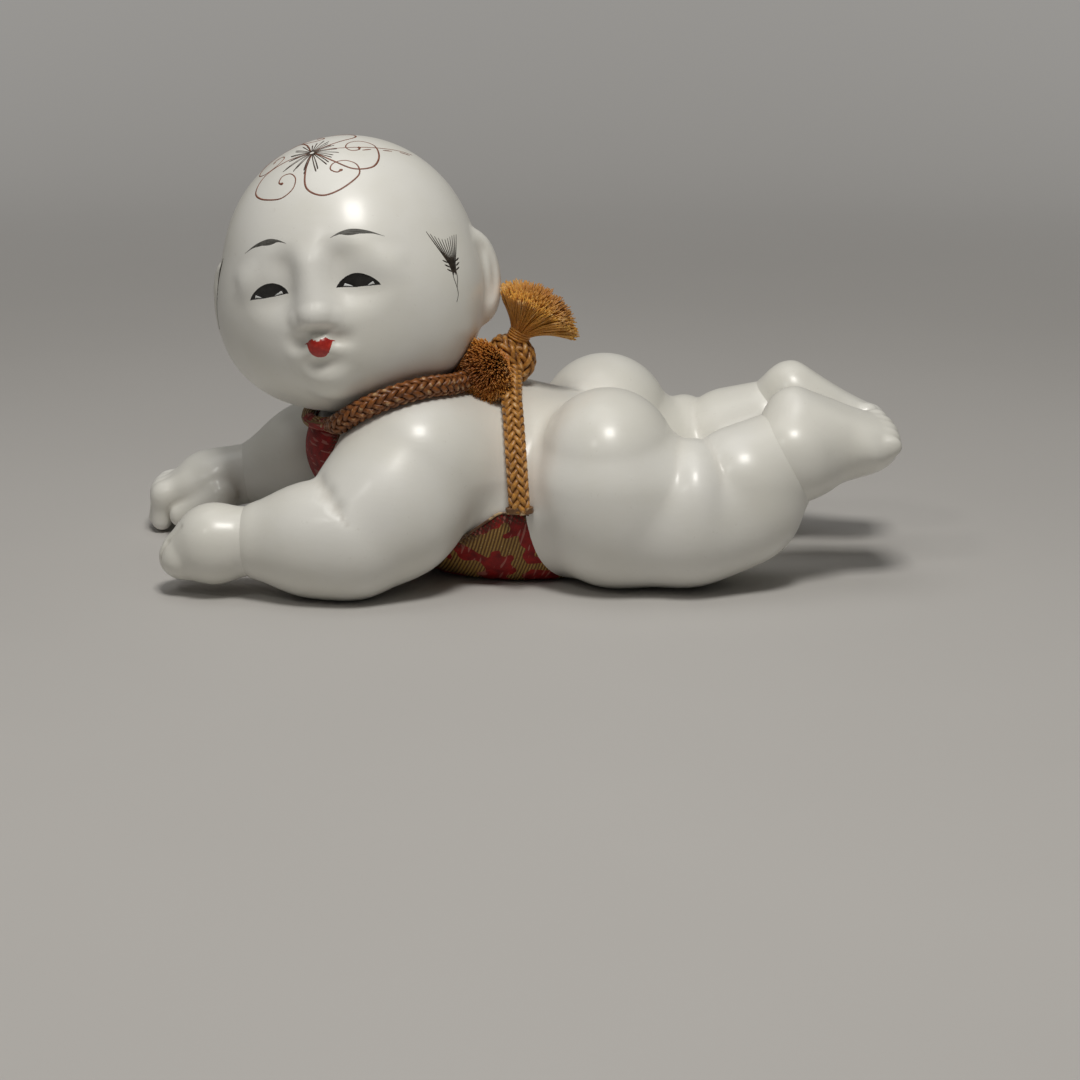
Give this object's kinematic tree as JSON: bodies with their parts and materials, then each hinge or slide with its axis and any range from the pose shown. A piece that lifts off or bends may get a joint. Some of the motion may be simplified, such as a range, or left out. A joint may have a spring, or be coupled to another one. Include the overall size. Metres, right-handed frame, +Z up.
{
  "type": "crawling baby doll",
  "caption": "White lacquered baby doll crawling on its belly, its turning head looking to the side, with a brocade bib tied by a braided cord whose ends are brushed out.",
  "frame": {"origin": "on the ground, under the middle of the doll's bounding box", "axes": "+X along the body towards the feet, +Y towards the doll's right side, +Z up"},
  "size_m": [0.1712, 0.0882, 0.0961],
  "materials": {
    "coat": "polished shell-white coat on moulded wood paste",
    "peg_wood": "plain turned wood",
    "brocade": "woven silk brocade with gold thread",
    "cord": "braided silk cord"
  },
  "bodies": {
    "body": {"torso_back_shell": "coat", "torso_belly_shell": "coat", "left_arm": "coat", "left_arm_peg": "peg_wood", "left_hand": "coat", "left_wrist_peg": "peg_wood", "right_arm": "coat", "right_arm_peg": "peg_wood", "right_hand": "coat", "right_wrist_peg": "peg_wood", "left_leg": "coat", "left_leg_peg": "peg_wood", "left_foot": "coat", "left_ankle_peg": "peg_wood", "right_leg": "coat", "right_leg_peg": "peg_wood", "right_foot": "coat", "right_ankle_peg": "peg_wood", "bib_panel": "brocade", "neck_cord": "cord", "waist_cord_left": "cord", "waist_cord_right": "cord", "cord_knot": "cord", "tassel_upper": "cord", "tassel_lower": "cord"},
    "head": {"face_shell": "coat", "head_back_shell": "coat", "left_ear": "coat", "right_ear": "coat", "neck_plug": "peg_wood"}
  },
  "joints": [
    {"name": "neck_turn", "type": "hinge", "parent": "body", "child": "head", "pos_m": [-0.02546, 0, 0.042], "axis": [-0.4004, 0, 0.9164], "range_deg": [-50, 8]}
  ]
}
